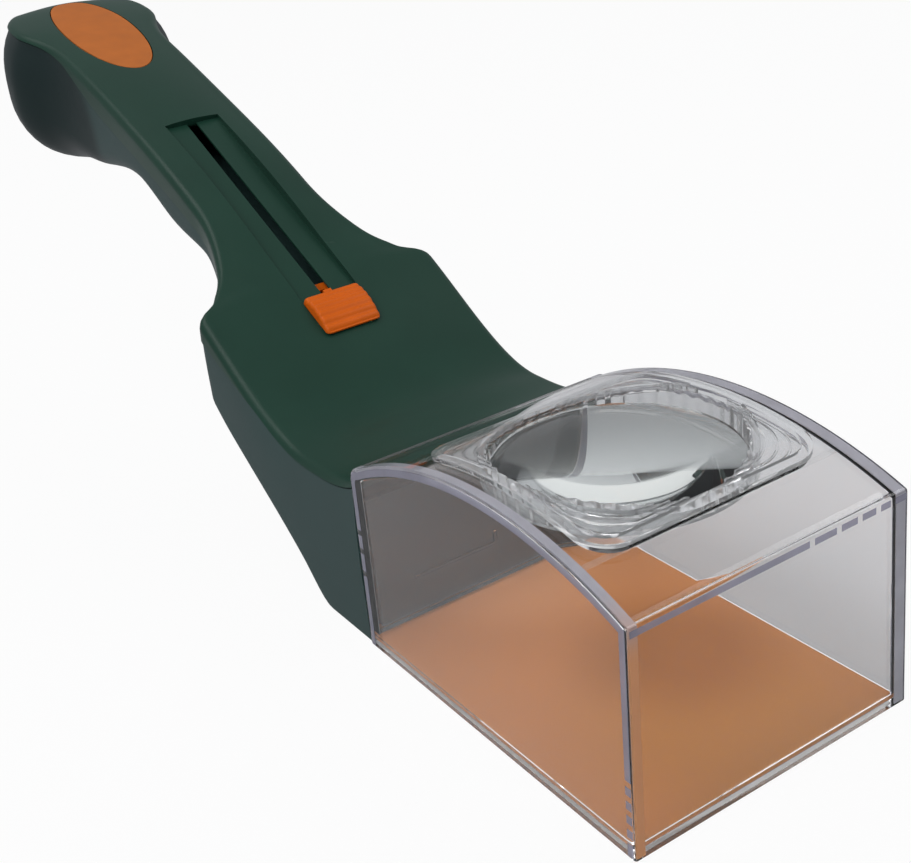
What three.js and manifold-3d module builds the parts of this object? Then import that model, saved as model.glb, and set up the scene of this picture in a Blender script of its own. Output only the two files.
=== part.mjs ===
// Hand-held insect catcher: a clear box with a magnifier in its arched roof, closed underneath
// by a thin flexible trap door that a thumb slider on the handle draws back into the housing.
// Millimetres, +Z up, +X towards the box's front wall. The box stands on Z = 0.

import * as THREE from 'three';
import { mergeVertices } from 'three/addons/utils/BufferGeometryUtils.js';
import Module from 'manifold-3d';

const wasm = await Module();
wasm.setup();

// Clearances
const GAP = 0.3;                    // between pieces that seat on each other
const SLIDE_GAP = 0.3;              // round a piece that slides

// Catch box
const BOX_LENGTH = 79.8;
const BOX_WIDTH = 60.9;             // at the open bottom
const BOX_DRAFT = THREE.MathUtils.degToRad(1.5);
const BOX_FRONT_HEIGHT = 42.1;
const BOX_BACK_HEIGHT = 37.9;
const ROOF_RISE = 9.1;              // height of the roof's arch above its chord
const BOX_WALL = 2.2;
const BOX_BACK_CORNER = 2.5;        // plan radius of the two back edges
const GROOVE_DEPTH = 0.7;           // side grooves that the trap door slides in
const SPIGOT_DEPTH = 3;             // rim behind the box that plugs into the housing
const SPIGOT_WALL = 1.5;

// Magnifier in the roof
const WINDOW_CENTRE = 43;           // from the back of the box
const WINDOW_SIZE = 50;
const WINDOW_CORNER = 7;
const LEDGE_WIDTH = 1.2;
const LEDGE_DEPTH = 1.25;           // below the roof's surface
const FRAME_PROUD = 0.8;
const LENS_RADIUS = 22.3;
const LENS_WELL_WALL = 1.4;
const LENS_RIM = 2.4;
const LENS_TOP_BULGE = 3;
const LENS_BOTTOM_BULGE = 2;
const LENS_DROP = 4.9;              // middle of the lens below the top of the roof

// Trap door, one flexible sheet
const SHEET = 0.8;
const SHEET_HEIGHT = 1.3;           // underside of the closed door above the ground
const DOOR_TRAVEL = 65;
const DOOR_TAIL = 3;                // closed door reaches this far behind the box
const STRAP_WIDTH = 18;
const RAMP_START = 13;              // behind the box
const RAMP_ANGLE = THREE.MathUtils.degToRad(50);
const RAMP_BEND = 18;
const TRACK_BEND = 25;

// Housing
const HOUSING_LENGTH = 205.5;       // behind the box
const TOP_LENGTH = 201.5;           // the top's end, ahead of the pommel's bulge
const MOUTH_HEIGHT = 36;
const SHELL_WALL = 1.3;
const FOOT_LENGTH = 16.5;           // flat foot behind the box
const HEEL_RUN = 10.5;              // end of the curve that lifts the underside off the foot
const HEEL_HEIGHT = 7.8;
const FOOT_FLOOR = 1;
const TOP_ROUND = 3;
const PARTING_DROP = 6;             // skirt of the upper shell below the top line
const PARTING_SHARE = 0.55;         // least share of the height that lies in the lower shell
const SADDLE_AT = 20;
const SADDLE_HEIGHT = 33.2;
const SHOULDER_AT = 62;
const SHOULDER_HEIGHT = 53.1;
const NECK_AT = 90;
const NECK_HEIGHT = 69.2;
const NECK_WIDTH = 30.2;
const GRIP_AT = 125;
const GRIP_HEIGHT = 84;
const GRIP_WIDTH = 30.4;
const POMMEL_AT = 183;
const POMMEL_HEIGHT = 102.5;
const POMMEL_WIDTH = 40.6;
const POMMEL_FLARE = 4;             // bulge of the pommel's sides below its top
const POMMEL_BOTTOM = 66.3;
const POMMEL_RISE = 4.5;            // climb of the top line past the pommel's middle
const BODY_CROWN = 1.8;             // middle of the top above its edges
const NECK_CROWN = 1.2;
const GRIP_CROWN = 1.5;
const POMMEL_CROWN = 0.8;
const RAMP_AT = 54;                 // underside under the shoulder
const RAMP_HEIGHT = 26.2;
const NECK_DEPTH = 14.6;
const THROAT_AT = 107;
const THROAT_HEIGHT = 61;
const GRIP_DEPTH = 15.2;
const GRIP_LOW_AT = 142;
const GRIP_LOW_HEIGHT = 69.4;
const SHOULDER_CURVE = 5;           // from the shoulder to the hollow curve of the neck's side
const SHOULDER_FILLET = 12;

// Slider track, straight, in a recess of the top
const TRACK_ANGLE = THREE.MathUtils.degToRad(26.4);
const TRACK_AT = 62.3;              // reference point on the recess floor
const TRACK_DEPTH = 1.5;            // below the crowned top there
const SLOT_WIDTH = 2.9;
const TRACK_FLOOR = 1.8;
const TRAY_WALL = 1.4;
const BUTTON_AT = 51.7;             // middle of the closed button behind the box
const BUTTON_LENGTH = 11.4;
const BUTTON_WIDTH = 13.7;
const BUTTON_BACK = 1.4;            // heights of the button's back edge, front edge and crest
const BUTTON_FRONT = 0.5;
const BUTTON_CREST = 1.1;
const BUTTON_RIBS = 6;
const STEM_AT = 56.8;
const STEM_LENGTH = 7.6;
const SHOE_LENGTH = 16;
const SHOE_WIDTH = 11;
const SHOE_THICKNESS = 1.6;
const BARB_LENGTH = 5;
const BARB_HEIGHT = 1.2;
const BARB_WIDTH = 6;

// Thumb pad, flush in the top of the pommel
const PAD_AT = 172;
const PAD_LENGTH = 52;
const PAD_WIDTH = 18.8;
const PAD_THICKNESS = 1.6;

// Inner guide plate over the sheet
const GUIDE_PLATE = 1.5;
const GUIDE_START = 5;
const GUIDE_END = 40;
const GUIDE_WIDTH = 52;
const GUIDE_PIN_AT = 26;
const GUIDE_PIN_RADIUS = 1.3;
const WEB = 1.4;
const WEB_SPREAD = 36;

// Screws
const SCREW_HEAD = 5;
const SCREW_HEAD_HEIGHT = 1.6;
const SCREW_SHANK = 2.5;
const SCREW_LENGTH = 9;
const BOSS = 5.8;
const SEAT_DEPTH = 9;               // underside of the head's seat below the parting plane
const SEAT = 1.5;
const SHOULDER_SCREW_AT = 58;
const SHOULDER_SCREW_SPREAD = 43;
const GRIP_SCREW_AT = 133;
const POMMEL_SCREW_AT = 184;

// Bulkhead that closes the housing behind the box
const BULKHEAD = 1.5;

// Facets
const ARC_STEPS = 12;
const ROUND = 16;
const FINE_ROUND = 36;

const halfBox = BOX_WIDTH / 2;
const halfBoxTop = halfBox - BOX_BACK_HEIGHT * Math.tan(BOX_DRAFT);
const halfInside = halfBox - BOX_WALL;
const halfGroove = halfInside + GROOVE_DEPTH;
const halfDoor = halfGroove - SLIDE_GAP;
const sheetMiddle = SHEET_HEIGHT + SHEET / 2;
const mouth = -GAP;                 // front face of the housing

// Materials
const finish = (color, roughness, extra = {}) =>
  new THREE.MeshStandardMaterial({ color, roughness, metalness: 0, ...extra });
const green = finish(0x2b4238, 0.42);
const darkGreen = finish(0x263a33, 0.5);
const clear = finish(0xd8dcdf, 0.05, { transparent: true, opacity: 0.3 });
const orange = finish(0xd06a25, 0.4);
const matteOrange = finish(0xb86e3c, 0.6);
const doorOrange = finish(0xc9823f, 0.45);
const guideGrey = finish(0x6a6f6c, 0.6);
const steel = new THREE.MeshStandardMaterial({ color: 0xb9bcc0, roughness: 0.3, metalness: 1 });

// Solids
function solid(geometry) {
  const bare = geometry.index ? geometry.toNonIndexed() : geometry.clone();
  for (const name of Object.keys(bare.attributes)) {
    if (name !== 'position') bare.deleteAttribute(name);
  }
  const merged = mergeVertices(bare, 1e-4);
  return new wasm.Manifold(new wasm.Mesh({
    numProp: 3,
    vertProperties: new Float32Array(merged.attributes.position.array),
    triVerts: new Uint32Array(merged.index.array),
  }));
}

function surface(manifold) {
  const data = manifold.getMesh();
  const geometry = new THREE.BufferGeometry();
  geometry.setAttribute('position', new THREE.BufferAttribute(data.vertProperties, 3));
  geometry.setIndex(new THREE.BufferAttribute(data.triVerts, 1));
  geometry.computeVertexNormals();
  return geometry;
}

const unite = (...solids) => solids.reduce((all, next) => all.add(next));

function block(x0, x1, y0, y1, z0, z1) {
  const geometry = new THREE.BoxGeometry(x1 - x0, y1 - y0, z1 - z0);
  return solid(geometry.translate((x0 + x1) / 2, (y0 + y1) / 2, (z0 + z1) / 2));
}

function upright(radius, x, y, z0, z1, sides = ROUND) {
  const geometry = new THREE.CylinderGeometry(radius, radius, z1 - z0, sides);
  return solid(geometry.rotateX(Math.PI / 2).translate(x, y, (z0 + z1) / 2));
}

// A closed outline in X and Z, drawn out between two values of Y
function sideProfile(points, y0, y1) {
  const outline = new THREE.Shape(points.map(([x, z]) => new THREE.Vector2(x, z)));
  const geometry = new THREE.ExtrudeGeometry(outline, { depth: y1 - y0, bevelEnabled: false });
  return solid(geometry.rotateX(Math.PI / 2).translate(0, y1, 0));
}

// A rounded square in X and Y, drawn up between two heights
function roundedPrism(x, halfX, halfY, corner, z0, z1) {
  const shape = new THREE.Shape();
  shape.moveTo(x - halfX + corner, -halfY);
  shape.lineTo(x + halfX - corner, -halfY);
  shape.absarc(x + halfX - corner, -halfY + corner, corner, -Math.PI / 2, 0);
  shape.absarc(x + halfX - corner, halfY - corner, corner, 0, Math.PI / 2);
  shape.absarc(x - halfX + corner, halfY - corner, corner, Math.PI / 2, Math.PI);
  shape.absarc(x - halfX + corner, -halfY + corner, corner, Math.PI, Math.PI * 1.5);
  const settings = { depth: z1 - z0, bevelEnabled: false, curveSegments: 6 };
  return solid(new THREE.ExtrudeGeometry(shape, settings).translate(0, 0, z0));
}

// A smooth line through [place, value, slope] stations
function smooth(stations, at) {
  const last = stations.length - 1;
  if (at <= stations[0][0]) return stations[0][1];
  if (at >= stations[last][0]) return stations[last][1];
  const i = stations.findIndex(([place]) => place >= at) - 1;
  const [a, va, ma] = stations[i];
  const [b, vb, mb] = stations[i + 1];
  const h = b - a;
  const t = (at - a) / h;
  const rise = t * t * (3 - 2 * t);
  return va * (1 - rise) + vb * rise + h * ma * t * (1 - t) ** 2 + h * mb * t * t * (t - 1);
}

// Roof of the box: an arc over a chord that climbs towards the front
const roofAxis = new THREE.Vector2(BOX_LENGTH, BOX_FRONT_HEIGHT - BOX_BACK_HEIGHT);
const roofChord = roofAxis.length();
const roofRadius = (roofChord ** 2 / 4 + ROOF_RISE ** 2) / (2 * ROOF_RISE);
const roofTilt = roofAxis.angle();
const roofCentre = new THREE.Vector2(
  BOX_LENGTH / 2 + (roofRadius - ROOF_RISE) * Math.sin(roofTilt),
  (BOX_FRONT_HEIGHT + BOX_BACK_HEIGHT) / 2 - (roofRadius - ROOF_RISE) * Math.cos(roofTilt),
);

function roofHeight(x, offset = 0) {
  return roofCentre.y + Math.sqrt((roofRadius + offset) ** 2 - (x - roofCentre.x) ** 2);
}

// The space under the roof between two places, down to a level
function underRoof(x0, x1, offset, bottom, halfWidth) {
  const points = [[x0, bottom], [x1, bottom]];
  for (let i = 0; i <= FINE_ROUND / 2; i++) {
    const x = x1 + (x0 - x1) * i / (FINE_ROUND / 2);
    points.push([x, roofHeight(x, offset)]);
  }
  return sideProfile(points, -halfWidth, halfWidth);
}

// Housing lines, by distance behind the box
const topStations = [
  [0, MOUTH_HEIGHT, -0.45],
  [SADDLE_AT, SADDLE_HEIGHT, 0],
  [SHOULDER_AT, SHOULDER_HEIGHT, 0.55],
  [NECK_AT, NECK_HEIGHT, 0.5],
  [GRIP_AT, GRIP_HEIGHT, 0.375],
  [POMMEL_AT, POMMEL_HEIGHT, 0.22],
  [HOUSING_LENGTH, POMMEL_HEIGHT + POMMEL_RISE, 0.2],
];
const bottomStations = [
  [0, 0, 0],
  [FOOT_LENGTH, 0, 0],
  [FOOT_LENGTH + HEEL_RUN, HEEL_HEIGHT, 0.78],
  [RAMP_AT, RAMP_HEIGHT, 0.7],
  [NECK_AT - 4, NECK_HEIGHT - NECK_DEPTH, 0.5],
  [THROAT_AT, THROAT_HEIGHT, 0.42],
  [GRIP_AT, GRIP_HEIGHT - GRIP_DEPTH, 0.2],
  [GRIP_LOW_AT, GRIP_LOW_HEIGHT, -0.08],
  [POMMEL_AT - 5, POMMEL_BOTTOM, -0.05],
];
const widthStations = [
  [0, halfBoxTop, 0],
  [SHOULDER_AT - 1.5, halfBox - 0.4, 0],
  [SHOULDER_AT + 1.4, halfBox - 3.4, -2.2],
  [SHOULDER_AT + SHOULDER_CURVE, NECK_WIDTH / 2 + 7.8, -0.95],
  [SHOULDER_AT + SHOULDER_FILLET, NECK_WIDTH / 2 + 3.4, -0.4],
  [NECK_AT, NECK_WIDTH / 2, 0],
  [GRIP_AT + 30, GRIP_WIDTH / 2, 0.02],
  [PAD_AT, GRIP_WIDTH / 2 + 1.7, 0.3],
  [POMMEL_AT, POMMEL_WIDTH / 2, 0],
];
const crownStations = [
  [0, 0.3, 0],
  [SADDLE_AT, BODY_CROWN, 0],
  [SHOULDER_AT, BODY_CROWN, 0],
  [NECK_AT, NECK_CROWN, 0],
  [GRIP_AT, GRIP_CROWN, 0],
  [POMMEL_AT, POMMEL_CROWN, 0],
];
const flareStations = [
  [0, halfBox - halfBoxTop, 0],
  [SHOULDER_AT, 0.4, 0],
  [NECK_AT, 0, 0],
  [GRIP_AT + 25, 0, 0],
  [POMMEL_AT, POMMEL_FLARE, 0.1],
];
const bottomRoundStations = [
  [0, 1, 0],
  [FOOT_LENGTH, 1, 0],
  [SHOULDER_AT, 2.5, 0],
  [NECK_AT, 4, 0],
  [GRIP_AT + 25, 5, 0],
  [POMMEL_AT, 16, 0],
];

// How far the tail has closed in, 1 before it starts and 0 at its end
function tail(at, power, end = HOUSING_LENGTH, start = POMMEL_AT) {
  const t = THREE.MathUtils.clamp((at - start) / (end - start), 0, 1);
  return (1 - t ** power) ** (1 / power);
}

const tailMiddle = (POMMEL_BOTTOM + POMMEL_HEIGHT) / 2 + 4;
const topLine = (at) => tailMiddle + (smooth(topStations, at) - tailMiddle) * tail(at, 5);
const bottomLine = (at) => (at < POMMEL_AT - 5
  ? smooth(bottomStations, at)
  : tailMiddle - (tailMiddle - POMMEL_BOTTOM) * tail(at, 2, HOUSING_LENGTH, POMMEL_AT - 5));
const topHalf = (at) => smooth(widthStations, at) * tail(at, 2.8, TOP_LENGTH);
const middleHalf = (at) => (smooth(widthStations, at) + smooth(flareStations, at)) * tail(at, 2.4);

// One cross-section of the housing as [y, z] points, taken in by a wall
function section(at, wall, floor = wall) {
  const steep = (line) => Math.hypot(1, line(at + 0.5) - line(at - 0.5));
  const half = Math.max(topHalf(at) - wall, 0.6);
  const wide = Math.max(middleHalf(at) - wall, 0.6);
  const crown = smooth(crownStations, at);
  const top = topLine(at) - wall * Math.min(steep(topLine), 1.6);
  const bottom = bottomLine(at) + floor * Math.min(steep(bottomLine), 1.6);
  const room = Math.min(half * 0.9, (top - bottom) * 0.45);
  const topRound = Math.min(Math.max(TOP_ROUND - wall, 0.6), room);
  const bottomRound = Math.min(Math.max(smooth(bottomRoundStations, at) - wall, 0.6), room);
  const side = [[0, bottom]];
  for (let i = 0; i <= 3; i++) {
    const a = (i / 3) * Math.PI / 2;
    side.push([wide - bottomRound + bottomRound * Math.sin(a), bottom + bottomRound * (1 - Math.cos(a))]);
  }
  const rise = top - topRound - bottom - bottomRound;
  side.push([wide + (half - wide) * 0.15, bottom + bottomRound + rise * 0.55]);
  for (let i = 0; i <= 2; i++) {
    const a = (i / 2) * Math.PI / 2;
    side.push([half - topRound + topRound * Math.cos(a), top - topRound + topRound * Math.sin(a)]);
  }
  const edge = half - topRound;
  const crowned = (y) => [y, top + crown * (1 - (y / edge) ** 2)];
  side.push(crowned(edge * 0.66), crowned(edge * 0.33));
  const mirrored = side.slice(1).reverse().map(([y, z]) => [-y, z]);
  return [...side, crowned(0), ...mirrored];
}

// Closed skin through a row of cross-sections, from front to back
function loft(places, ring) {
  const rings = places.map((at) => ring(at).map(([y, z]) => new THREE.Vector3(-at, y, z)));
  const count = rings[0].length;
  const corners = [];
  const add = (...points) => points.forEach((p) => corners.push(p.x, p.y, p.z));
  for (let i = 0; i + 1 < rings.length; i++) {
    for (let j = 0; j < count; j++) {
      const k = (j + 1) % count;
      add(rings[i][j], rings[i + 1][k], rings[i][k]);
      add(rings[i][j], rings[i + 1][j], rings[i + 1][k]);
    }
  }
  const cap = (points, turned) => {
    const hub = points.reduce((sum, p) => sum.add(p), new THREE.Vector3()).divideScalar(count);
    for (let j = 0; j < count; j++) {
      const k = (j + 1) % count;
      if (turned) add(hub, points[k], points[j]);
      else add(hub, points[j], points[k]);
    }
  };
  cap(rings[0], false);
  cap(rings[rings.length - 1], true);
  const geometry = new THREE.BufferGeometry();
  geometry.setAttribute('position', new THREE.Float32BufferAttribute(corners, 3));
  return solid(geometry);
}

// Places along the housing: even steps, closer at the shoulder and towards the tail's end
function places(start, end, stride = 7) {
  const list = [start];
  let at = start;
  while (at < end) {
    const nearShoulder = at > SHOULDER_AT - 6 && at < SHOULDER_AT + SHOULDER_FILLET;
    const left = end - at;
    let step = at < FOOT_LENGTH + 15 ? stride / 2 : stride;
    if (nearShoulder) step = 2.2;
    if (at > POMMEL_AT - 4) step = THREE.MathUtils.clamp(left / 3.5, 0.9, 3.5);
    at = Math.min(at + step, end);
    if (end - at < 0.35) at = end;
    list.push(at);
  }
  return list;
}

const floorAt = (at) => smooth([
  [0, FOOT_FLOOR, 0], [FOOT_LENGTH, FOOT_FLOOR, 0], [FOOT_LENGTH + HEEL_RUN, SHELL_WALL, 0],
], at);
const outer = loft(places(-mouth, HOUSING_LENGTH), (at) => section(at, 0));
const hollow = loft(
  places(-mouth - 1, HOUSING_LENGTH - SHELL_WALL * 2, 10),
  (at) => section(at, SHELL_WALL, floorAt(at)),
);

// Parting surface between the shells
const partingHeight = (at) => Math.max(
  topLine(at) - PARTING_DROP,
  bottomLine(at) + (topLine(at) - bottomLine(at)) * PARTING_SHARE,
);
function sideOfParting(shift, limit) {
  const points = [];
  for (const at of places(-2, HOUSING_LENGTH + 2)) points.push([-at, partingHeight(at) + shift]);
  points.push([-HOUSING_LENGTH - 2, limit], [2, limit]);
  if (limit < 0) points.reverse();
  points.reverse();
  return sideProfile(points, -halfBox - 2, halfBox + 2);
}

// Track frame: local X runs down the track towards the box, local Z is its normal
const trackTop = topLine(TRACK_AT) + smooth(crownStations, TRACK_AT) - TRACK_DEPTH;
const trackHeight = (at) => trackTop + (at - TRACK_AT) * Math.tan(TRACK_ANGLE);
const track = new THREE.Matrix4().makeRotationY(TRACK_ANGLE).setPosition(-TRACK_AT, 0, trackTop);
const alongTrack = (at) => (TRACK_AT - at) / Math.cos(TRACK_ANGLE);

function trackBlock(x0, x1, halfY, z0, z1) {
  const geometry = new THREE.BoxGeometry(x1 - x0, halfY * 2, z1 - z0);
  return solid(geometry.translate((x0 + x1) / 2, 0, (z0 + z1) / 2).applyMatrix4(track));
}

const channelHalf = BUTTON_WIDTH / 2 + SLIDE_GAP;
const stemHalf = SLOT_WIDTH / 2 - SLIDE_GAP;
const stemFront = alongTrack(STEM_AT) + STEM_LENGTH / 2;
const stemBack = alongTrack(STEM_AT) - STEM_LENGTH / 2;
const slotFront = stemFront + SLIDE_GAP;
const slotBack = stemBack - DOOR_TRAVEL - SLIDE_GAP;
const buttonMiddle = alongTrack(BUTTON_AT);
const recessBack = Math.min(slotBack, buttonMiddle - BUTTON_LENGTH / 2 - DOOR_TRAVEL - SLIDE_GAP);

const recess = trackBlock(recessBack, buttonMiddle + BUTTON_LENGTH, channelHalf, 0, 40);
const slot = trackBlock(slotBack, slotFront, SLOT_WIDTH / 2, -TRACK_FLOOR - 1, 1);
const tray = trackBlock(
  recessBack - TRAY_WALL, buttonMiddle + BUTTON_LENGTH, channelHalf + TRAY_WALL, -TRACK_FLOOR, 40,
).intersect(outer);

// Route of the sheet, as [x, z] points: flat, up the ramp, then under the track
const shoeTop = -TRACK_FLOOR - SLIDE_GAP;
const hookTop = shoeTop - SHOE_THICKNESS - GAP / 2;
const hookMiddle = hookTop - SHEET / 2;
const routeHeight = (at) => trackHeight(at) + hookMiddle / Math.cos(TRACK_ANGLE);
const rampSlope = Math.tan(RAMP_ANGLE);
const trackSlope = Math.tan(TRACK_ANGLE);
const meetAt = (routeHeight(0) - sheetMiddle + rampSlope * RAMP_START) / (rampSlope - trackSlope);
const rampTop = new THREE.Vector2(-meetAt, routeHeight(meetAt));
const rampFoot = new THREE.Vector2(-RAMP_START, sheetMiddle);
const footTangent = RAMP_BEND * Math.tan(RAMP_ANGLE / 2);
const topTangent = TRACK_BEND * Math.tan((RAMP_ANGLE - TRACK_ANGLE) / 2);

function bend(corner, radius, tangent, from, to) {
  const start = new THREE.Vector2(corner.x + tangent * Math.cos(from), corner.y - tangent * Math.sin(from));
  const side = to > from ? 1 : -1;
  const points = [];
  for (let i = 0; i <= ARC_STEPS / 2; i++) {
    const turn = from + (to - from) * i / (ARC_STEPS / 2);
    points.push([
      start.x - side * radius * (Math.sin(turn) - Math.sin(from)),
      start.y - side * radius * (Math.cos(turn) - Math.cos(from)),
      turn,
    ]);
  }
  return points;
}

const route = [
  [-DOOR_TAIL - GAP, sheetMiddle, 0],
  ...bend(rampFoot, RAMP_BEND, footTangent, 0, RAMP_ANGLE),
  ...bend(rampTop, TRACK_BEND, topTangent, RAMP_ANGLE, TRACK_ANGLE),
];
const routeEnd = route[route.length - 1];

// The route's points between two places, moved up square to it
function alongRoute(by, start, end) {
  const kept = [];
  for (let i = 0; i + 1 < route.length; i++) {
    const [ax, az, at] = route[i];
    const [bx, bz, bt] = route[i + 1];
    for (let k = 0; k < 3; k++) {
      const t = k / 3;
      const p = [ax + (bx - ax) * t, az + (bz - az) * t, at + (bt - at) * t];
      if (-p[0] >= start && -p[0] <= end) kept.push(p);
    }
  }
  if (-routeEnd[0] <= end) kept.push(routeEnd);
  return kept.map(([x, z, turn]) => [x + by * Math.sin(turn), z + by * Math.cos(turn)]);
}

// A plate along the route, between two distances above it
function band(low, high, start, end, y0, y1) {
  const points = [...alongRoute(low, start, end), ...alongRoute(high, start, end).reverse()];
  return sideProfile(points.reverse(), y0, y1);
}

// Upright webs that reach from a line along the route up or down to a level
function webs(by, level, start, end) {
  const edge = alongRoute(by, start, end);
  const points = [...edge, [edge[edge.length - 1][0], level], [edge[0][0], level]];
  if (level > edge[0][1]) points.reverse();
  return unite(...[-1, 1].map((side) => {
    const y = side * WEB_SPREAD / 2;
    return sideProfile(points, y - WEB / 2, y + WEB / 2);
  })).intersect(outer);
}

// The space between the box's leaning side walls
function drafted(half) {
  const low = -5;
  const high = 90;
  const lean = Math.tan(BOX_DRAFT);
  const outline = new THREE.Shape([
    new THREE.Vector2(-half + low * lean, low), new THREE.Vector2(half - low * lean, low),
    new THREE.Vector2(half - high * lean, high), new THREE.Vector2(-half + high * lean, high),
  ]);
  const geometry = new THREE.ExtrudeGeometry(outline, { depth: BOX_LENGTH + 10, bevelEnabled: false });
  return solid(geometry.rotateX(Math.PI / 2).rotateZ(Math.PI / 2).translate(-5, 0, 0));
}

// Catch box, open underneath, with its magnifier window
function makeCatchBox() {
  let box = underRoof(0, BOX_LENGTH, 0, 0, halfBox);
  const plan = roundedPrism(BOX_LENGTH, BOX_LENGTH, halfBox, BOX_BACK_CORNER, -1, 90);
  box = box.intersect(plan).intersect(drafted(halfBox));
  const inside = underRoof(BOX_WALL, BOX_LENGTH - BOX_WALL, -BOX_WALL, -1, halfBox);
  box = box.subtract(inside.intersect(drafted(halfInside)));
  const grooveTop = SHEET_HEIGHT + SHEET + SLIDE_GAP;
  const grooveFront = BOX_LENGTH - BOX_WALL + GROOVE_DEPTH;
  box = box.subtract(block(-1, grooveFront, -halfGroove, halfGroove, SHEET_HEIGHT - SLIDE_GAP, grooveTop));
  box = box.subtract(block(-1, BOX_WALL + 1, -halfInside, halfInside, -1, grooveTop + 0.5));
  const half = WINDOW_SIZE / 2;
  const window = roundedPrism(WINDOW_CENTRE, half, half, WINDOW_CORNER, 0, 90);
  const inner = half - LEDGE_WIDTH;
  const opening = roundedPrism(WINDOW_CENTRE, inner, inner, WINDOW_CORNER - LEDGE_WIDTH, 0, 90);
  box = box.subtract(window.subtract(underRoof(-5, BOX_LENGTH + 5, -LEDGE_DEPTH, -5, halfBox + 5)));
  box = box.subtract(opening);
  return box.add(makeSpigot());
}

const spigotHalf = halfBoxTop - SHELL_WALL - GAP;
const spigotTop = topLine(SPIGOT_DEPTH) - SHELL_WALL * 1.2 - GAP * 2;
function makeSpigot() {
  const bottom = SHEET_HEIGHT + SHEET + SLIDE_GAP + 2;
  const rim = block(-SPIGOT_DEPTH, BOX_WALL / 2, -spigotHalf, spigotHalf, bottom, spigotTop);
  const insideHalf = spigotHalf - SPIGOT_WALL;
  return rim.subtract(
    block(-SPIGOT_DEPTH - 1, 0, -insideHalf, insideHalf, bottom - 1, spigotTop - SPIGOT_WALL),
  );
}

// Magnifier: an arched square frame, a round well and a lens of two domes
const lensMiddle = roofHeight(WINDOW_CENTRE) - LENS_DROP;
function makeLens() {
  const half = WINDOW_SIZE / 2 - GAP;
  const plate = roundedPrism(WINDOW_CENTRE, half, half, WINDOW_CORNER - GAP, 0, 90);
  let frame = plate.intersect(underRoof(-5, BOX_LENGTH + 5, FRAME_PROUD, 1, halfBox + 5));
  frame = frame.subtract(underRoof(-5, BOX_LENGTH + 5, GAP - LEDGE_DEPTH, -5, halfBox + 5));
  const rimBottom = lensMiddle - LENS_RIM / 2;
  const wellTop = underRoof(-5, BOX_LENGTH + 5, FRAME_PROUD, 1, halfBox + 5);
  const well = upright(LENS_RADIUS + LENS_WELL_WALL, WINDOW_CENTRE, 0, rimBottom, 90, FINE_ROUND);
  frame = frame.add(well.intersect(wellTop));
  frame = frame.subtract(upright(LENS_RADIUS, WINDOW_CENTRE, 0, 0, 90, FINE_ROUND));
  const outline = [new THREE.Vector2(0, -LENS_RIM / 2 - LENS_BOTTOM_BULGE)];
  const domeSteps = 4;
  const reach = LENS_RADIUS + LENS_WELL_WALL / 2;
  for (let i = 1; i <= domeSteps; i++) {
    const r = reach * i / domeSteps;
    outline.push(new THREE.Vector2(r, -LENS_RIM / 2 - LENS_BOTTOM_BULGE * (1 - (r / reach) ** 2)));
  }
  for (let i = domeSteps; i >= 1; i--) {
    const r = reach * i / domeSteps;
    outline.push(new THREE.Vector2(r, LENS_RIM / 2 + LENS_TOP_BULGE * (1 - (r / reach) ** 2)));
  }
  outline.push(new THREE.Vector2(0, LENS_RIM / 2 + LENS_TOP_BULGE));
  const lens = new THREE.LatheGeometry(outline, FINE_ROUND);
  return frame.add(solid(lens.rotateX(Math.PI / 2).translate(WINDOW_CENTRE, 0, lensMiddle)));
}

// Bulkhead inside the spigot, right behind the box's back wall
function makeBulkhead() {
  const half = spigotHalf - SPIGOT_WALL - GAP;
  const top = spigotTop - SPIGOT_WALL - GAP;
  const bottom = SHEET_HEIGHT + SHEET + SLIDE_GAP + 0.5;
  return block(-GAP - BULKHEAD, -GAP, -half, half, bottom, top);
}

// Thumb pad: the top skin of the pommel inside an ellipse
function padPlug(grow) {
  const geometry = new THREE.CylinderGeometry(1, 1, PAD_LENGTH, FINE_ROUND).rotateX(Math.PI / 2);
  geometry.scale(PAD_LENGTH / 2 + grow, PAD_WIDTH / 2 + grow, 1);
  return solid(geometry.translate(-PAD_AT, 0, topLine(PAD_AT)));
}
const lowered = (by) => outer.translate([0, 0, -by]);
const pad = padPlug(0).intersect(outer).subtract(lowered(PAD_THICKNESS));
const padPocket = padPlug(GAP).subtract(lowered(PAD_THICKNESS + GAP));
const padBed = padPlug(GAP + SHELL_WALL).subtract(lowered(PAD_THICKNESS + GAP + SHELL_WALL));

// Screws that hold the shells together, as [place, y]
const shellScrews = [
  [SHOULDER_SCREW_AT, -SHOULDER_SCREW_SPREAD / 2],
  [SHOULDER_SCREW_AT, SHOULDER_SCREW_SPREAD / 2],
  [GRIP_SCREW_AT, 0],
  [POMMEL_SCREW_AT, 0],
];

const wellRadius = SCREW_HEAD / 2 + GAP;
const holeRadius = SCREW_SHANK / 2 + GAP;
const seatHeight = (at) => partingHeight(at) - SEAT_DEPTH;

// Height of a line along the route, where it crosses a place
function heightAt(by, at) {
  const line = alongRoute(by, 0, HOUSING_LENGTH);
  const i = line.findIndex(([x]) => -x >= at);
  const [ax, az] = line[i - 1];
  const [bx, bz] = line[i];
  return az + (bz - az) * (-at - ax) / (bx - ax);
}

const guideLow = SHEET / 2 + SLIDE_GAP;
const guideHigh = guideLow + GUIDE_PLATE;
const guidePins = [-1, 1].map((side) => side * WEB_SPREAD / 2);

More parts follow.
